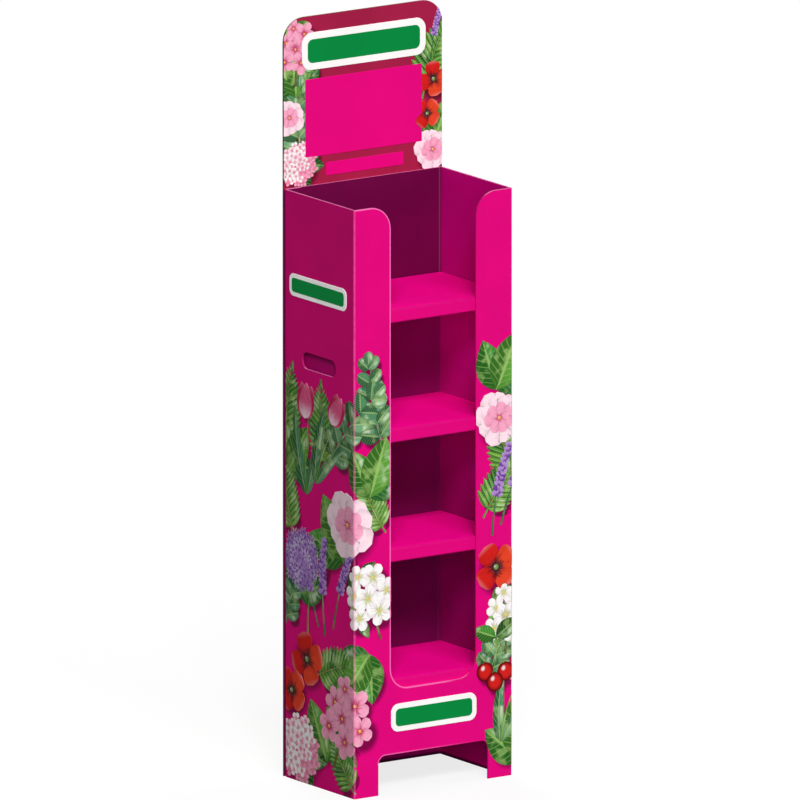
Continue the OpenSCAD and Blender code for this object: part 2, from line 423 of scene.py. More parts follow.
def riser_board():
    """Riser in painted light and shade: bright wings, a deep rear wall, darker low down and at each tier's
    foot, lighter below the lowest shelf, a dark line at the floor; bare edges.
    """
    sheet = Sheet("riser_board")
    level = sheet.over(sheet.size(sheet.face_z), 0.5)
    forward = sheet.under(sheet.face_y, -0.5)
    outer = sheet.over(sheet.times(sheet.x, sheet.face_x), 0.0)
    # Painted shade: the walls are darker towards the bottom of the stand.
    low_down = sheet.ramp(sheet.z, 1.0, 0.4)
    # Painted light: below the lowest shelf the walls are lighter again.
    over_base = sheet.ramp(sheet.z, SHELF_TOPS[0] - 40 * MM, SHELF_TOPS[0])
    wing_tone = sheet.blend(over_base, BASE_WING_LIT_TONE, LOWER_WING_SHADE_TONE)
    # Painted light in the wings' bright ink, painted shade in the rear wall's deep one.
    wing_ink = sheet.deepen(low_down, sheet.mottled(RISER_WING_LIT_INK), wing_tone)
    rear_ink = sheet.deepen(low_down, sheet.mottled(RISER_REAR_SHADE_INK), LOWER_REAR_SHADE_TONE)
    rear_ink = sheet.blend(over_base, RISER_BASE_LIT_INK, rear_ink)
    corner_line = sheet.times(inner_corner_line(sheet, RISER_SIDE), 0.06)
    ink = sheet.blend(forward, wing_ink, sheet.blend(corner_line, rear_ink, EDGE_PAPER))
    # Painted shade: darker towards the foot of each tier.
    footing = 0.0
    for shelf_top in SHELF_TOPS:
        above = sheet.minus(sheet.z, shelf_top)
        near = sheet.times(sheet.ramp(above, 160 * MM, 20 * MM), sheet.over(above, 0.0))
        footing = sheet.largest(footing, near)
    ink = sheet.deepen(footing, ink, FOOTING_SHADE_TONE)
    # Painted contact shade: a dark line where the walls stand on the floor.
    ink = sheet.deepen(sheet.ramp(sheet.z, 9 * MM, 4 * MM), ink, FLOOR_LINE_SHADE_TONE)
    ink = sheet.blend(outer, ink, sheet.mottled(RISER_REAR))
    return sheet.finish(sheet.blend(level, ink, EDGE_PAPER), 0.65)


# Print inks

def petal_ink():
    """A petal: its own tint, the throat's colour at the foot, fine streaks and a paler rim."""
    ink = Print("petal_ink")
    lanes = {0: ink.times(ink.u, 9.0), 1: ink.times(ink.v, 1.5)}
    lane = ink.add("ShaderNodeCombineXYZ", lanes).outputs[0]
    shifted = {0: ink.spot, 1: (60.0, 60.0, 60.0), 2: lane}
    drift = ink.add("ShaderNodeVectorMath", shifted, operation="MULTIPLY_ADD").outputs[0]
    streak = ink.noise(drift, 1.0, 2.0)
    reach = ink.scaled(streak, -0.5, ink.plus(ink.v, 0.25))
    colour = ink.blend(ink.ramp(reach, 0.5, 0.05), ink.own_tint("Ink"), ink.own_tint("Throat"))
    darker = ink.deepen(1.0, colour, STREAK_TONE)
    streaked = ink.times(ink.ramp(streak, 0.48, 0.7), ink.ramp(ink.v, 1.0, 0.3))
    colour = ink.blend(streaked, colour, darker)
    colour = ink.blend(ink.times(ink.ramp(ink.u, 0.45, 0.0), 0.5), colour, darker)
    colour = ink.blend(ink.times(ink.ramp(ink.v, 0.75, 1.0), 0.12), colour, WHITE)
    return ink.finish(wear_and_painted_light(ink, colour))


def leaf_ink():
    """A leaf: pale rib, slanting veins, one half in more light, and sheen in soft patches."""
    ink = Print("leaf_ink")
    green = ink.own_tint("Ink")
    lit = ink.blend(0.5, green, LEAF_LIGHT)
    dim = ink.deepen(1.0, green, DIM_LEAF_TONE)
    sheen = ink.noise(ink.spot, 42.0, 1.0)
    slant = ink.scaled(ink.off_middle, -1.5, ink.times(ink.v, 9.0))
    vein = ink.ramp(ink.math("PINGPONG", slant, 0.5), 0.13, 0.02)
    band = ink.times(ink.ramp(ink.u, 0.56, 0.7), ink.ramp(ink.u, 0.95, 0.8), ink.ramp(ink.v, 0.2, 0.45),
                     ink.ramp(ink.v, 0.95, 0.7), ink.ramp(sheen, 0.42, 0.62))
    colour = ink.blend(ink.ramp(ink.u, 0.35, 0.65), dim, green)
    colour = ink.blend(ink.times(ink.ramp(sheen, 0.5, 0.68), 0.55), colour, lit)
    colour = ink.blend(ink.times(vein, 0.5), colour, lit)
    colour = ink.blend(ink.times(band, 0.55), colour, LEAF_SHEEN)
    colour = ink.blend(ink.times(ink.ramp(ink.v, 0.35, 0.0), 0.5), colour, dim)
    colour = ink.blend(ink.times(ink.ramp(ink.off_middle, 0.75, 1.0), 0.4), colour, dim)
    colour = ink.blend(ink.times(ink.ramp(ink.off_middle, 0.16, 0.03), 0.8), colour, lit)
    return ink.finish(wear_and_painted_light(ink, colour))


def bead_ink():
    """A bead, such as a flower's eye: its tint, darker to the rim, with a small light."""
    ink = Print("bead_ink")
    rise = ink.scaled(ink.v, 2.0, -1.0)
    rise_square = ink.times(rise, rise)
    breadth = ink.times(ink.off_middle, ink.off_middle, ink.minus(1.0, rise_square))
    radius = ink.plus(breadth, rise_square)
    colour = ink.blend(ink.ramp(radius, 0.15, 0.95), ink.own_tint("Ink"), ink.own_tint("Throat"))
    off_glint = ink.distance(ink.minus(ink.u, 0.36), ink.minus(ink.v, 0.68))
    colour = ink.blend(ink.times(ink.ramp(off_glint, 0.17, 0.05), 0.7), colour, WHITE)
    return ink.finish(wear_and_painted_light(ink, colour))


def shade_ink(name, ground):
    """Printed shade: the ground's own ink at the rim, deeper to the middle."""
    ink = Print(name)
    across = ink.minus(1.0, ink.times(ink.off_middle, ink.off_middle))
    hump = ink.times(across, ink.math("SINE", ink.times(ink.v, math.pi)))
    base = ink.mottled(ground)
    colour = ink.blend(ink.ramp(hump, 0.0, 0.6), base, ink.deepen(1.0, base, SHADE_TONE))
    return ink.finish(wear_and_painted_light(ink, colour))


def field_ink(name, colour):
    """A plain printed field with a little unevenness."""
    sheet = Sheet(name)
    return sheet.finish(sheet.mottled(colour, 0.04))


# Modelling by hand

def pick(piece, test):
    """Select the vertices whose place passes the test, in edit mode; how many they are."""
    mesh = bmesh.from_edit_mesh(piece.data)
    mesh.select_mode = {"VERT"}
    count = 0
    for vertex in mesh.verts:
        vertex.select = test(vertex.co)
        count += vertex.select
    mesh.select_flush_mode()
    bmesh.update_edit_mesh(piece.data)
    return count


def choose(pieces):
    """Select these pieces alone, in object mode, the first of them active."""
    bpy.ops.object.select_all(action="DESELECT")
    for piece in pieces:
        piece.select_set(True)
    bpy.context.view_layer.objects.active = pieces[0]


def edit(piece):
    choose([piece])
    bpy.ops.object.mode_set(mode="EDIT")


def done():
    bpy.ops.object.mode_set(mode="OBJECT")


def tint(piece, name, colour):
    layers = piece.data.color_attributes
    layer = layers.get(name) or layers.new(name, "FLOAT_COLOR", "POINT")
    layer.data.foreach_set("color", (*colour, 1.0) * len(piece.data.vertices))


# Flat masters of the print, and how close counts as the same place when they are shaped
masters = []
NEAR = 1e-4
ON_LINE = 1e-6
THINNEST = 1e-5


def blade(name, half_width, material, rows=10, columns=4, crown=0.05, sway=0.0):
    """A flat master 1 mm long, foot at the origin and tip up, its half width worked out along it."""
    bpy.ops.object.select_all(action="DESELECT")
    bpy.ops.mesh.primitive_grid_add(x_subdivisions=columns, y_subdivisions=rows, size=1.0)
    piece = bpy.context.object
    piece.name = name
    edit(piece)
    for step in range(columns + 1):
        aside = step / columns - 0.5
        pick(piece, lambda spot: abs(spot.x - aside) < NEAR)
        bpy.ops.transform.translate(value=(0.0, 0.0, crown * MM * (1 - 4 * aside * aside)))
    for step in range(rows + 1):
        along = step / rows
        pick(piece, lambda spot: abs(spot.y - along + 0.5) < NEAR)
        girth = max(2 * half_width(along), THINNEST)
        swell = math.sin(math.pi * along)
        bpy.ops.transform.resize(value=(girth, 1.0, swell), center_override=(0.0, along - 0.5, 0.0))
        bpy.ops.transform.translate(value=(sway * along * along, 0.0, 0.0))
    bpy.ops.mesh.select_all(action="SELECT")
    bpy.ops.mesh.remove_doubles(threshold=NEAR)
    bpy.ops.transform.translate(value=(0.0, 0.5, 0.0))
    bpy.ops.transform.resize(value=(MM, MM, 1.0), center_override=(0.0, 0.0, 0.0))
    done()
    piece.data.materials.append(material)
    tint(piece, "Ink", WHITE)
    tint(piece, "Throat", WHITE)
    masters.append(piece)
    return piece


def stamp(master, x=0.0, y=0.0, turn=0.0, size=1.0, girth=1.0, lift=0.0, ink=None, throat=None):
    """A copy of a flat master, placed in millimetres, turned anticlockwise in degrees and sized."""
    copy = master.copy()
    copy.data = master.data.copy()
    spread = Matrix.Diagonal((size * girth, size, 1.0, 1.0))
    place = Matrix.Translation((x * MM, y * MM, lift * MM))
    copy.data.transform(place @ Matrix.Rotation(math.radians(turn), 4, "Z") @ spread)
    if ink:
        tint(copy, "Ink", ink)
    if throat:
        tint(copy, "Throat", throat)
    bpy.context.scene.collection.objects.link(copy)
    return copy


def join(name, copies):
    choose(copies)
    bpy.ops.object.join()
    piece = bpy.context.object
    piece.name = name
    piece.data.name = name
    return piece


def pointed(width, foot, belly):
    """Half width along a blade that narrows to both ends; a smaller foot puts its widest place lower."""
    return lambda v: width * math.sin(math.pi * v ** foot) ** belly


def rounded(width, tip):
    """Half width along a blade with a round end, which is broader as its tip number grows."""
    return lambda v: width * math.sqrt(v) * math.sqrt(1 - v ** tip)


STALK_SWAY = 0.16
leaf_print, petal_print, bead_print = leaf_ink(), petal_ink(), bead_ink()
wrap_shade, header_shade = shade_ink("wrap_shade", MAGENTA), shade_ink("header_shade", CRIMSON)

leaf = blade("leaf", pointed(0.23, 0.85, 0.85), leaf_print, 12)
round_leaf = blade("round_leaf", rounded(0.86, 1), leaf_print)
strap_leaf = blade("strap_leaf", pointed(0.075, 0.7, 0.7), leaf_print, 14, sway=0.18)
stalk = blade("stalk", lambda v: 0.012 * (1.2 - v), leaf_print, columns=2, sway=STALK_SWAY)
round_petal = blade("round_petal", rounded(0.43, 3), petal_print)
broad_petal = blade("broad_petal", rounded(0.64, 4), petal_print, 12, 6)
cup_petal = blade("cup_petal", pointed(0.3, 0.75, 0.7), petal_print, 12)
slim_petal = blade("slim_petal", pointed(0.16, 1.0, 0.8), petal_print, 6, 2)
small_petal = blade("small_petal", rounded(0.5, 3), petal_print, 5, 2)
bead = blade("bead", rounded(1.0, 1), bead_print, columns=6)
shade_leaf = blade("shade_leaf", pointed(0.27, 0.9, 0.8), wrap_shade, 12, 6, 0.06)
shade_disc = blade("shade_disc", rounded(1.0, 1), wrap_shade, 14, 10, 0.06)


# Motifs: each gives its print and its printed shade

def along_stalk(length, share):
    """Where a stalk is at a share of its length, in millimetres, and its lean in degrees."""
    lean = -math.degrees(math.atan(2 * STALK_SWAY * share))
    return STALK_SWAY * length * share * share, length * share, lean


def sunflower_spiral(radius, count):
    """Places that fill a disc evenly from its middle, turn by turn, and how far out each is."""
    golden_angle = math.radians(137.5)
    for step in range(count):
        reach = radius * math.sqrt((step + 0.5) / count)
        angle = step * golden_angle
        yield step, reach * math.cos(angle), reach * math.sin(angle), reach


def fern():
    """A frond with slim leaflets in pairs, shorter to the tip."""
    length, pairs = 190.0, 13
    shapes = [stamp(stalk, size=length, ink=LEAF_GREENS[3])]
    shades = []
    for step in range(pairs):
        share = 0.14 + 0.8 * step / (pairs - 1)
        x, y, lean = along_stalk(length, share)
        reach = length * 0.34 * math.sin(math.pi * (0.25 + 0.72 * share))
        for side in (-1, 1):
            turn = lean + side * (68 - 30 * share)
            leaflet = dict(x=x, y=y, turn=turn, size=reach, girth=0.72)
            shapes.append(stamp(leaf, lift=0.004 * step, ink=rng.choice(LEAF_GREENS), **leaflet))
            shades.append(stamp(shade_leaf, **leaflet))
    x, y, lean = along_stalk(length, 0.95)
    shapes.append(stamp(leaf, x=x, y=y, turn=lean, size=26.0, ink=LEAF_GREENS[1]))
    return join("fern", shapes), join("fern_shade", shades)


def sprig():
    """A twig with round leaves in pairs and one at the tip."""
    length, pairs = 200.0, 6
    shapes = [stamp(stalk, size=length, girth=1.2, ink=BLUE_GREENS[1])]
    shades = []
    for step in range(pairs):
        share = 0.12 + 0.78 * step / (pairs - 1)
        x, y, lean = along_stalk(length, share)
        reach = 58 - 24 * share
        for side in (-1, 1):
            turn = lean + side * (62 - 18 * share) + rng.uniform(-8, 8)
            roundel = dict(x=x, y=y, turn=turn, size=reach, girth=0.86)
            shapes.append(stamp(round_leaf, lift=0.02 * step, ink=rng.choice(BLUE_GREENS), **roundel))
            shades.append(stamp(shade_disc, **roundel))
    x, y, lean = along_stalk(length, 0.95)
    shapes.append(stamp(round_leaf, x=x, y=y, turn=lean, size=30.0, lift=0.14, ink=BLUE_GREENS[1]))
    return join("sprig", shapes), join("sprig_shade", shades)


def foliage():
    """Three broad leaves that fan out from one foot."""
    fan = ((-46, 118, 2), (38, 128, 0), (-4, 146, 1))
    shapes = []
    shades = []
    for step, (turn, length, green) in enumerate(fan):
        blade_place = dict(turn=turn, size=length)
        shapes.append(stamp(leaf, girth=1.35, lift=0.06 * step, ink=LEAF_GREENS[green], **blade_place))
        shades.append(stamp(shade_leaf, girth=1.3, **blade_place))
    return join("foliage", shapes), join("foliage_shade", shades)


def peony():
    """A full flower: rings of round petals, deeper in tint to the heart."""
    rings = (
        (9, 66, PALE_PINK, MID_PINK),
        (8, 54, PALE_PINK, ROSE),
        (7, 41, MID_PINK, ROSE),
        (5, 27, MID_PINK, DEEP_ROSE),
    )
    shapes = []
    for level, (count, reach, ink, throat) in enumerate(rings):
        for step in range(count):
            turn = 360 * step / count + 23 * level + rng.uniform(-7, 7)
            shapes.append(stamp(round_petal, turn=turn, size=reach * rng.uniform(0.92, 1.06), girth=1.25,
                                lift=0.07 * level + 0.004 * step, ink=ink, throat=throat))
    shapes.append(stamp(bead, y=-5, size=10, lift=0.3, ink=GOLD, throat=ROSE))
    return join("peony", shapes), stamp(shade_disc, y=-76, size=152)


def poppy():
    """Four crumpled petals round a dark eye with a ring of stamens."""
    ring, stamens, grain = 11, 16, 2.8
    shapes = []
    for step, turn in enumerate((8, 188, 98, 278)):
        shapes.append(stamp(broad_petal, turn=turn + rng.uniform(-6, 6), size=48, girth=1.02,
                            lift=0.05 * step, ink=(RED, ORANGE_RED)[step % 2], throat=NIGHT))
    for step in range(stamens):
        angle = 2 * math.pi * step / stamens
        x, y = ring * math.sin(angle), ring * math.cos(angle) - grain / 2
        shapes.append(stamp(bead, x=x, y=y, size=grain, lift=0.26, ink=NIGHT, throat=NIGHT))
    shapes.append(stamp(bead, y=-7, size=14, lift=0.27, ink=POPPY_EYE, throat=NIGHT))
    return join("poppy", shapes), stamp(shade_disc, y=-54, size=108)


def tulip():
    """A cup of three petals on a stalk, with two strap leaves."""
    length = 130.0
    shapes = [
        stamp(strap_leaf, x=-2, turn=14, size=150, girth=1.3, ink=BLUE_GREENS[0]),
        stamp(strap_leaf, x=3, turn=-22, size=120, girth=1.3, lift=0.03, ink=BLUE_GREENS[1]),
        stamp(stalk, size=length, girth=1.6, lift=0.06, ink=LEAF_GREENS[1]),
    ]
    x, y, lean = along_stalk(length, 0.98)
    cup = ((14, DEEP_ROSE, ROSE), (-14, DEEP_ROSE, ROSE), (0, ROSE, PALE_PINK))
    for step, (turn, ink, throat) in enumerate(cup):
        shapes.append(stamp(cup_petal, x=x, y=y, turn=lean + turn, size=62, lift=0.08 + 0.05 * step,
                            ink=ink, throat=throat))
    shades = [
        stamp(shade_leaf, turn=12, size=150, girth=0.4),
        stamp(shade_leaf, x=x, y=y - 4, turn=lean, size=70, girth=1.7),
    ]
    return join("tulip", shapes), join("tulip_shade", shades)


def lavender():
    """A slim stalk whose upper half carries whorls of small buds."""
    length, whorls = 170.0, 11
    shapes = [stamp(stalk, size=length, ink=BLUE_GREENS[2])]
    for step in range(whorls):
        share = 0.45 + 0.55 * step / (whorls - 1)
        x, y, lean = along_stalk(length, share)
        for fan in (-62, 62, -32, 32, 0):
            turn = lean + fan + rng.uniform(-9, 9)
            ink = rng.choice((LILAC, VIOLET, LILAC))
            shapes.append(stamp(round_petal, x=x, y=y, turn=turn, size=17 - 6 * share,
                                lift=0.03 + 0.006 * step, ink=ink, throat=VIOLET))
    x, y, lean = along_stalk(length, 0.5)
    return join("lavender", shapes), stamp(shade_leaf, x=x, y=y, turn=lean - 7, size=100, girth=0.7)


def allium():
    """A globe of small stars on a stalk."""
    globe, stars = 54.0, 72
    points = [stamp(slim_petal, turn=60 * step, size=12, ink=LILAC, throat=VIOLET) for step in range(6)]
    star = join("star", points)
    shapes = [stamp(stalk, y=-150, size=110, girth=1.6, ink=LEAF_GREENS[1])]
    for step, x, y, reach in sunflower_spiral(globe, stars):
        light = 1.0 - 0.35 * (reach / globe) ** 2
        ink = deeper(rng.choice((LILAC, PALE_LILAC, LILAC)), light)
        shapes.append(stamp(star, x=x, y=y, turn=rng.uniform(0, 60), size=1.25 - 0.35 * reach / globe,
                            lift=0.3 - 0.004 * step, ink=ink, throat=VIOLET))
    bpy.data.objects.remove(star)
    base = stamp(bead, y=-50, size=100, ink=deeper(VIOLET, 0.5), throat=VIOLET)
    return join("allium", [base] + shapes), stamp(shade_disc, y=-66, size=132)


def blossom(ink, throat, name):
    """Loose five-petalled flowers on a twig, with a few small leaves."""
    spots = ((-34, 22, 30), (22, 40, 33), (-6, 2, 34), (44, -2, 29),
             (-40, -28, 31), (12, -36, 33), (-12, 58, 26))
    shapes = [stamp(stalk, x=-6, y=-96, size=150, girth=1.4, ink=TWIG)]
    shades = []
    for step, (x, y, _) in enumerate(spots):
        green = rng.choice(LEAF_GREENS)
        shapes.append(stamp(leaf, x=x, y=y, turn=47 * step, size=52, girth=1.1, lift=0.02, ink=green))
    for step, (x, y, reach) in enumerate(spots):
        start = rng.uniform(0, 72)
        for fan in range(5):
            shapes.append(stamp(round_petal, x=x, y=y, turn=start + 72 * fan, size=reach, girth=1.25,
                                lift=0.08 + 0.03 * step + 0.003 * fan, ink=ink, throat=throat))
        shapes.append(stamp(bead, x=x, y=y - 4, size=8, lift=0.14 + 0.03 * step, ink=GOLD, throat=throat))
        shades.append(stamp(shade_disc, x=x, y=y - 38, size=76))
    return join(name, shapes), join(name + "_shade", shades)


def hydrangea():
    """A dome of four-petalled florets, pinker away from the light."""
    dome, florets, eye = 62.0, 48, 2.8
    shapes = []
    for step, x, y, _ in sunflower_spiral(dome, florets):
        ink = MID_PINK if x - y > rng.uniform(10, 60) else rng.choice((WHITE, PALE_PINK))
        lift = 0.2 - 0.0035 * step
        start = rng.uniform(0, 90)
        for fan in range(4):
            shapes.append(stamp(small_petal, x=x, y=y, turn=start + 90 * fan, size=13, girth=1.2,
                                lift=lift, ink=ink, throat=ROSE))
        shapes.append(stamp(bead, x=x, y=y - eye / 2, size=eye, lift=lift + 0.004, ink=CREAM, throat=ROSE))
    base = stamp(bead, y=-60, size=120, ink=ROSE, throat=DEEP_ROSE)
    leaves = [stamp(leaf, turn=turn, size=96, girth=1.3, ink=LEAF_GREENS[2]) for turn in (110, 205, 262)]
    return join("hydrangea", leaves + [base] + shapes), stamp(shade_disc, y=-78, size=156)


def cherries():
    """Three fruits on long stalks under a pair of leaves."""
    top, fruit, shadow, dimple = 74.0, 48, 60, 18
    shapes = []
    shades = []
    for turn, size, green in ((68, 70, 0), (-58, 76, 2)):
        shapes.append(stamp(leaf, y=top, turn=turn, size=size, girth=1.3, lift=0.1, ink=LEAF_GREENS[green]))
        shades.append(stamp(shade_leaf, y=top, turn=turn, size=size))
    for step, (x, y) in enumerate(((-31, -6), (28, -12), (-3, -34))):
        drop = top - y - dimple
        reach = math.hypot(x, drop) / math.hypot(1.0, STALK_SWAY)
        turn = 180 - math.degrees(math.atan2(-x, drop)) + math.degrees(math.atan(STALK_SWAY))
        shapes.append(stamp(stalk, y=top, turn=turn, size=reach, girth=1.6, lift=0.06, ink=LEAF_GREENS[1]))
        shapes.append(stamp(bead, x=x, y=y - fruit / 2, size=fruit, lift=0.07 * step, ink=RED,
                            throat=CHERRY_SHADE))
        shades.append(stamp(shade_disc, x=x, y=y - shadow / 2, size=shadow))
    return join("cherries", shapes), join("cherries_shade", shades)


MOTIFS = {
    "ferns": fern(),
    "sprigs": sprig(),
    "foliage": foliage(),
    "peonies": peony(),
    "poppies": poppy(),
    "tulips": tulip(),
    "lavender": lavender(),
    "alliums": allium(),
    "pink_blossom": blossom(MID_PINK, DEEP_ROSE, "pink_blossom"),
    "white_blossom": blossom(WHITE, LIME_THROAT, "white_blossom"),
    "hydrangeas": hydrangea(),
    "cherries": cherries(),
}

# How far the print's shade falls and how high the print lies on the board, in millimetres
SHADE_FALL = (8.0, -11.0)
SHADE_LIFT, PRINT_LIFT = 0.05, 0.16
LEVEL = 0.22

# Layout of the wrap, laid flat in the plane of its front: motif, x, z, turn, size, level
WRAP_LAYOUT = (
    ("ferns", -452, 690, 2, 1.0, 0),
    ("ferns", -300, 680, 16, 0.95, 0),
    ("ferns", -425, 520, 20, 0.85, 0),
    ("ferns", -345, 235, -62, 0.85, 0),
    ("ferns", -196, 10, 46, 0.75, 0),
    ("ferns", -120, 560, 36, 0.7, 0),
    ("foliage", -236, 500, 35, 1.05, 0),
    ("foliage", -405, 400, -22, 0.95, 0),
    ("foliage", -162, 306, 146, 0.85, 0),
    ("foliage", -300, 60, 30, 0.95, 0),
    ("foliage", -440, 660, -30, 0.85, 0),
    ("foliage", -160, 640, -14, 0.9, 1),
    ("sprigs", -292, 700, -34, 1.1, 1),
    ("sprigs", -128, 745, 20, 0.95, 1),
    ("sprigs", -452, 330, -14, 0.8, 1),
    ("tulips", -372, 620, 12, 1.25, 2),
    ("tulips", -340, 650, -14, 1.15, 3),
    ("peonies", -222, 582, 0, 1.12, 3),
    ("alliums", -392, 478, 8, 1.15, 2),
    ("lavender", -306, 330, 10, 1.15, 1),
    ("lavender", -276, 350, -12, 1.1, 2),
    ("lavender", -330, 345, 26, 1.0, 2),
    ("white_blossom", -160, 425, 20, 0.98, 2),
    ("poppies", -372, 268, 10, 1.2, 3),
    ("poppies", -428, 192, 40, 1.05, 4),
    ("pink_blossom", -236, 160, -15, 1.18, 2),
    ("hydrangeas", -402, 72, 0, 1.1, 2),
    ("foliage", 160, 830, -20, 0.9, 0),
    ("peonies", 166, 770, 0, 0.92, 2),
    ("ferns", 126, 560, -30, 0.85, 0),
    ("ferns", 190, 640, 14, 0.8, 0),
    ("lavender", 148, 520, -4, 1.1, 1),
    ("lavender", 170, 540, -16, 1.1, 2),
    ("poppies", 158, 452, 30, 1.12, 3),
    ("sprigs", 140, 215, -16, 0.9, 0),
    ("white_blossom", 188, 345, 0, 0.86, 2),
    ("cherries", 158, 236, 0, 0.88, 3),
    ("tulips", 172, 76, -4, 1.0, 1),
    ("foliage", 226, 30, 14, 0.95, 0),
    ("ferns", 330, 680, 24, 1.0, 0),
    ("sprigs", 246, 660, -20, 1.0, 1),
    ("alliums", 300, 560, 0, 1.1, 2),
    ("pink_blossom", 388, 650, 10, 1.05, 2),
    ("foliage", 360, 400, -30, 1.0, 0),
    ("foliage", 430, 560, 20, 0.9, 0),
    ("peonies", 384, 444, 0, 1.08, 2),
    ("lavender", 262, 300, 10, 1.15, 1),
    ("lavender", 290, 290, -8, 1.05, 2),
    ("ferns", 420, 190, 10, 0.95, 0),
    ("poppies", 330, 230, 20, 1.15, 2),
    ("cherries", 392, 170, 8, 1.1, 3),
    ("tulips", 262, 36, 10, 1.1, 1),
    ("white_blossom", 340, 84, 30, 0.95, 2),
    ("ferns", 440, 20, -10, 0.8, 0),
)
# Layout of the header, from its middle and the rim of the wrap
HEADER_LAYOUT = (
    ("sprigs", -150, 20, 12, 1.0, 0),
    ("foliage", -168, 190, 10, 0.8, 0),
    ("ferns", 150, 150, -12, 0.9, 0),
    ("foliage", 172, 40, -20, 0.8, 0),
    ("pink_blossom", -166, 292, 0, 0.8, 2),
    ("peonies", -186, 150, 0, 0.6, 2),
    ("hydrangeas", -166, 48, 0, 0.72, 2),
    ("poppies", 178, 190, 0, 0.8, 2),
    ("poppies", 162, 118, 40, 0.7, 3),
    ("peonies", 176, 40, 0, 0.7, 2),
    ("lavender", 172, 230, -4, 0.7, 1),
)


def scatter(layout, base_z):
    """Stamps of every motif in a layout, gathered by motif, and those of their shades."""
    prints = {}
    shades = []
    fall_x, fall_z = SHADE_FALL
    for motif, x, z, turn, size, level in layout:
        shape, shade = MOTIFS[motif]
        place = dict(turn=turn, size=size)
        copy = stamp(shape, x=x, y=z + base_z, lift=PRINT_LIFT + LEVEL * level, **place)
        prints.setdefault(motif, []).append(copy)
        shades.append(stamp(shade, x=x + fall_x, y=z + base_z + fall_z, lift=SHADE_LIFT, **place))
    prints["shades"] = shades
    return prints


def trim(piece, point, way):
    """Cut away what lies beyond a point in a direction of the flat sheet."""
    edit(piece)
    bpy.ops.mesh.select_all(action="SELECT")
    bpy.ops.mesh.bisect(plane_co=(*point, 0.0), plane_no=(*way, 0.0), clear_outer=True)
    done()


# Room below a print, and the angles, in degrees, of the cuts round a header corner
FOOT_GAP = 0.3 * MM
CORNER_CUTS = (22.5, 45.0, 67.5)


def trim_at_window(piece, side):
    """Cut a strip's print along the window's upright edge, above its round corner."""
    edge = side * (RIGHT - STRIP)
    edit(piece)
    found = pick(piece, lambda spot: 0 < side * spot.x < RIGHT and spot.y > SILL + SILL_R)
    if found:
        bpy.ops.mesh.bisect(plane_co=(edge, 0.0, 0.0), plane_no=(-side, 0.0, 0.0), clear_outer=True)
    done()


def trim_to_wrap(piece):
    """Cut a print to the wrap's foot, to the rear of its sides and to its window."""
    trim(piece, (0.0, FOOT_GAP), (0.0, -1.0))
    for side in (-1, 1):
        trim(piece, (side * REAR_EDGE, 0.0), (side, 0.0))
        trim_at_window(piece, side)


def trim_to_header(piece):
    """Cut a print to the header, with straight cuts that touch its round corners."""
    trim(piece, (0.0, RIM + FOOT_GAP), (0.0, -1.0))
    trim(piece, (0.0, TOP), (0.0, 1.0))
    for side in (-1, 1):
        trim(piece, (side * card_high.x, 0.0), (side, 0.0))
        for angle in CORNER_CUTS:
            way = (side * math.sin(math.radians(angle)), math.cos(math.radians(angle)))
            centre = (side * (card_high.x - HEADER_R), TOP - HEADER_R)
            trim(piece, (centre[0] + way[0] * HEADER_R, centre[1] + way[1] * HEADER_R), way)


def close_down(piece, depth=0.05):
    """Give the flat print its thickness, down to a level floor just inside the board's skin."""
    edit(piece)
    bpy.ops.mesh.select_all(action="SELECT")
    bpy.ops.mesh.delete_loose()
    bpy.ops.mesh.select_all(action="SELECT")
    bpy.ops.mesh.extrude_region_move()
    bpy.ops.transform.resize(value=(1.0, 1.0, 0.0), center_override=(0.0, 0.0, -depth * MM))
    bpy.ops.mesh.select_all(action="SELECT")
    bpy.ops.mesh.normals_make_consistent(inside=False)
    done()


def stand_up(piece, face):
    """Turn a flat sheet upright, with its print to the front, onto a face at this depth."""
    piece.rotation_euler.x = math.pi / 2
    piece.location.y = face
    choose([piece])
    bpy.ops.object.transform_apply(location=True, rotation=True, scale=True)


def fold(piece, side):
    """Bend what lies beyond a front corner round it, in small turns that touch the board's round fold."""
    turn = math.pi / 2 / FOLD_STEPS
    stride = 2 * FOLD_R * math.tan(turn / 2)
    edit(piece)
    for step in reversed(range(FOLD_STEPS)):
        line = side * (RIGHT - FOLD_R + (step + 0.5) * stride)
        bpy.ops.mesh.select_all(action="SELECT")
        bpy.ops.mesh.bisect(plane_co=(line, 0.0, 0.0), plane_no=(1.0, 0.0, 0.0))
        beyond = pick(piece, lambda spot: side * spot.x > side * line + ON_LINE)
        if beyond:
            hinge = (line, FRONT, 0.0)
            bpy.ops.transform.rotate(value=-side * turn, orient_axis="Z", center_override=hinge)
    done()


def hand_over(piece):
    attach(piece, "root")


for motif, stamps in scatter(WRAP_LAYOUT, 0.0).items():
    piece = join("wrap_" + motif, stamps)
    trim_to_wrap(piece)
    close_down(piece)
    stand_up(piece, FRONT)
    for side in (-1, 1):
        fold(piece, side)
    hand_over(piece)

for motif, stamps in scatter(HEADER_LAYOUT, RIM / MM).items():
    piece = join("header_" + motif, stamps)
    if motif == "shades":
        piece.data.materials.clear()
        piece.data.materials.append(header_shade)
    trim_to_header(piece)
    close_down(piece)
    stand_up(piece, card_low.y)
    hand_over(piece)

for master in masters:
    bpy.data.objects.remove(master)
for shape, shade in MOTIFS.values():
    bpy.data.objects.remove(shape)
    bpy.data.objects.remove(shade)


# Header fields and labels, in millimetres
FIELD_HEIGHT, LABEL_HEIGHT, BAND_HEIGHT = 0.9, 1.0, 1.15
FIELD_CORNER = 2
EASED_EDGE = 0.4
PLATE_LIFT = 0.02


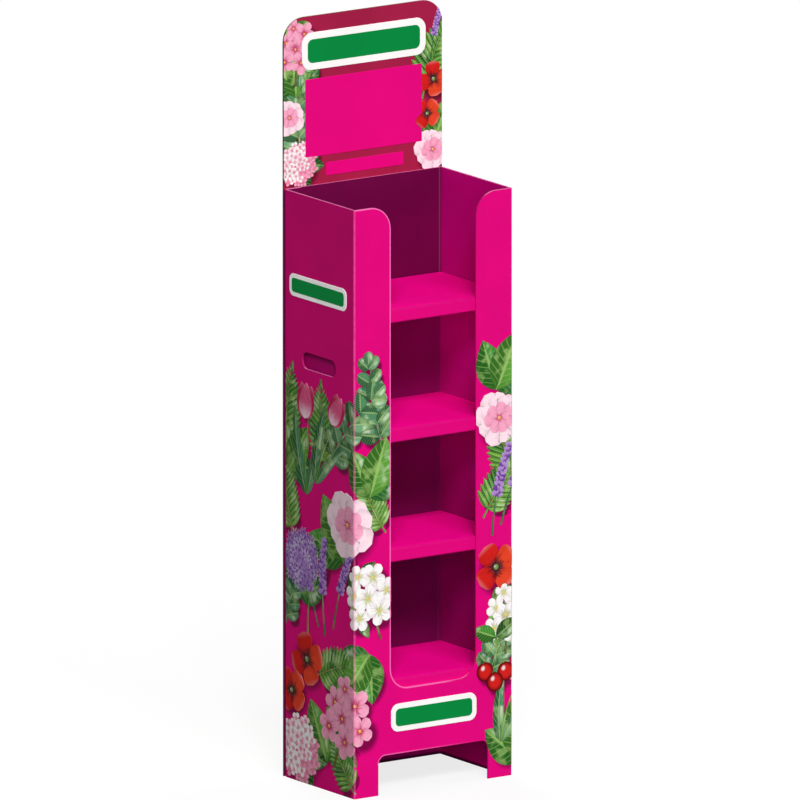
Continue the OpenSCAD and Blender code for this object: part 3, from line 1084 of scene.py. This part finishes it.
def plate(name, middle, size, corner, height, material):
    """A thin sheet with round corners, laid flat, its edge eased."""
    bpy.ops.object.select_all(action="DESELECT")
    bpy.ops.mesh.primitive_plane_add(size=1.0)
    piece = bpy.context.object
    piece.name = name
    piece.data.name = name
    edit(piece)
    bpy.ops.transform.resize(value=(size[0] * MM, size[1] * MM, 1.0), center_override=(0.0, 0.0, 0.0))
    bpy.ops.mesh.bevel(offset=corner * MM, segments=8, affect="VERTICES")
    bpy.ops.mesh.select_all(action="SELECT")
    bpy.ops.mesh.inset(thickness=EASED_EDGE * MM)
    bpy.ops.transform.translate(value=(0.0, 0.0, height * MM))
    bpy.ops.mesh.select_all(action="SELECT")
    bpy.ops.transform.translate(value=(middle[0] * MM, middle[1] * MM, PLATE_LIFT * MM))
    done()
    piece.data.materials.append(material)
    return piece


def field(name, middle, size):
    """A plain printed field on the header."""
    return plate(name, middle, size, FIELD_CORNER, FIELD_HEIGHT, field_pink)


def label(name, middle, size):
    """A blank white label with a plain green band."""
    length, height = size
    border = 0.36 * height
    inner = (length - border, height - border)
    band = plate(name + "_band", middle, inner, 0.16 * height, BAND_HEIGHT, band_green)
    return plate(name, middle, size, 0.3 * height, LABEL_HEIGHT, label_white), band


label_white = field_ink("label_white", WHITE)
band_green = field_ink("band_green", LABEL_GREEN)
field_pink = field_ink("field_pink", MAGENTA)
header_middle = (card_low.x + card_high.x) / 2 / MM
header_foot = RIM / MM

header_plates = [
    field("header_panel", (header_middle + 1.5, header_foot + 143), (295, 166)),
    field("header_caption_strip", (header_middle + 4.5, header_foot + 30), (195, 28)),
    *label("header_label", (header_middle + 2, header_foot + 285), (313, 80)),
]
for piece in header_plates:
    close_down(piece)
    stand_up(piece, card_low.y)
    hand_over(piece)
wrap_plates = [
    *label("apron_label", (LEFT / MM + 201, 161), (216, 60)),
    *label("side_label", (-SIDE_START / MM - 129, 1059), (210, 48)),
]
for piece in wrap_plates:
    close_down(piece)
    stand_up(piece, FRONT)
    fold(piece, -1)
    hand_over(piece)


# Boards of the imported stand

def dress(node, material):
    node_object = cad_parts[node]
    node_object.data.materials.clear()
    node_object.data.materials.append(material)


dress("outer_wrap", wrap_board())
dress("header_card", card_board())
shelf_finish, riser_finish = shelf_board(), riser_board()
for tier in range(1, 5):
    dress(f"shelf_{tier}", shelf_finish)
    dress(f"riser_{tier}", riser_finish)


# Camera and lamps

def direction(azimuth, elevation):
    """The way from the stand to what looks at it, from angles in degrees; azimuth 0 is in front."""
    turn, lift = math.radians(azimuth), math.radians(elevation)
    return Vector((math.sin(turn) * math.cos(lift), -math.cos(turn) * math.cos(lift), math.sin(lift)))


def set_up(name, data, aim, way, reach):
    """Put a camera or lamp at a distance from a point and turn it to the point."""
    holder = bpy.data.objects.new(name, data)
    holder.location = aim + way * reach
    holder.rotation_euler = (-way).to_track_quat("-Z", "Y").to_euler()
    bpy.context.scene.collection.objects.link(holder)
    return holder


# A long lens for a near-parallel view; the stand's lower left front corner lies at CORNER_PIXEL
AZIMUTH, ELEVATION = -34.45, 12.5
DISTANCE = 70.0
FIELD = 1.668
PIXELS = 800
CORNER_PIXEL = (354.3, 799.6)
METRE_PER_PIXEL = FIELD / PIXELS
back = direction(AZIMUTH, ELEVATION)
aside = direction(AZIMUTH + 90, 0)
above = back.cross(aside)
right_shift = (PIXELS / 2 - CORNER_PIXEL[0]) * METRE_PER_PIXEL
up_shift = (CORNER_PIXEL[1] - PIXELS / 2) * METRE_PER_PIXEL
lens = bpy.data.cameras.new("camera")
lens.sensor_width = 36.0
lens.lens = lens.sensor_width * DISTANCE / FIELD
lens.clip_end = 200.0
aim = Vector((LEFT, FRONT, 0.0)) + aside * right_shift + above * up_shift
bpy.context.scene.camera = set_up("camera", lens, aim, back, DISTANCE)

LAMP_REACH = 80.0


def lamp(name, azimuth, elevation, width, height, level):
    """A soft far lamp, sized in degrees; at level 1 a face turned to it renders at its written colour."""
    light = bpy.data.lights.new(name, "AREA")
    light.shape = "RECTANGLE"
    light.size = LAMP_REACH * math.radians(width)
    light.size_y = LAMP_REACH * math.radians(height)
    light.energy = level * (math.pi * LAMP_REACH) ** 2
    set_up(name, light, Vector((0.0, 0.0, TOP / 2)), direction(azimuth, elevation), LAMP_REACH)


lamp("key", -34, 36, 18, 14, 0.62)
lamp("second", -10, 42, 30, 10, 0.46)
lamp("fill", -34, 12, 24, 24, 0.2)
lamp("side", 84, 25, 34, 34, 0.44)
lamp("rear", 170, 35, 34, 34, 0.53)

# A white backdrop that gives the stand only a little light
BACKDROP = (1.0, 1.0, 1.0)
AMBIENT = 0.06
world = bpy.data.worlds.new("studio")
bpy.context.scene.world = world
world.use_nodes = True
sky = Nodes(world.node_tree)
sky.tree.nodes.clear()
ray = sky.add("ShaderNodeLightPath").outputs
seen = sky.largest(ray["Is Camera Ray"], ray["Is Glossy Ray"], ray["Is Transmission Ray"])
shell = {"Color": BACKDROP, "Strength": sky.scaled(seen, 1.0 - AMBIENT, AMBIENT)}
sky.add("ShaderNodeOutputWorld", {"Surface": sky.add("ShaderNodeBackground", shell).outputs[0]})

# A pale floor that fades into the backdrop and keeps a faint shadow
FLOOR_SIZE = 60.0
FLOOR_BOUNCE = (0.12, 0.12, 0.12)
FLOOR_TONE = (0.9, 0.9, 0.9)
FADE_START, FADE_END = 0.5, 2.2
NEAR_GLOW = 0.8
bpy.ops.object.select_all(action="DESELECT")
bpy.ops.mesh.primitive_plane_add(size=FLOOR_SIZE, location=(0.0, 0.0, 0.0))
floor = bpy.context.object
floor.name = "floor"
ground = Sheet("pale_floor")
in_view = ground.add("ShaderNodeLightPath").outputs["Is Camera Ray"]
ground.coat(ground.blend(in_view, FLOOR_BOUNCE, FLOOR_TONE), 0.9)
away = ground.add("ShaderNodeVectorMath", {0: ground.spot}, operation="LENGTH").outputs["Value"]
whiteness = ground.scaled(ground.ramp(away, FADE_START, FADE_END), 1.0 - NEAR_GLOW, NEAR_GLOW)
glow = ground.add("ShaderNodeEmission", {"Color": BACKDROP, "Strength": 1.0})
layers = {0: ground.times(in_view, whiteness), 1: ground.surface.outputs[0], 2: glow.outputs[0]}
mix = ground.add("ShaderNodeMixShader", layers)
ground.feed(ground.tree.nodes["Material Output"].inputs["Surface"], mix.outputs[0])
floor.data.materials.append(ground.material)

bpy.context.scene.view_settings.view_transform = "Standard"
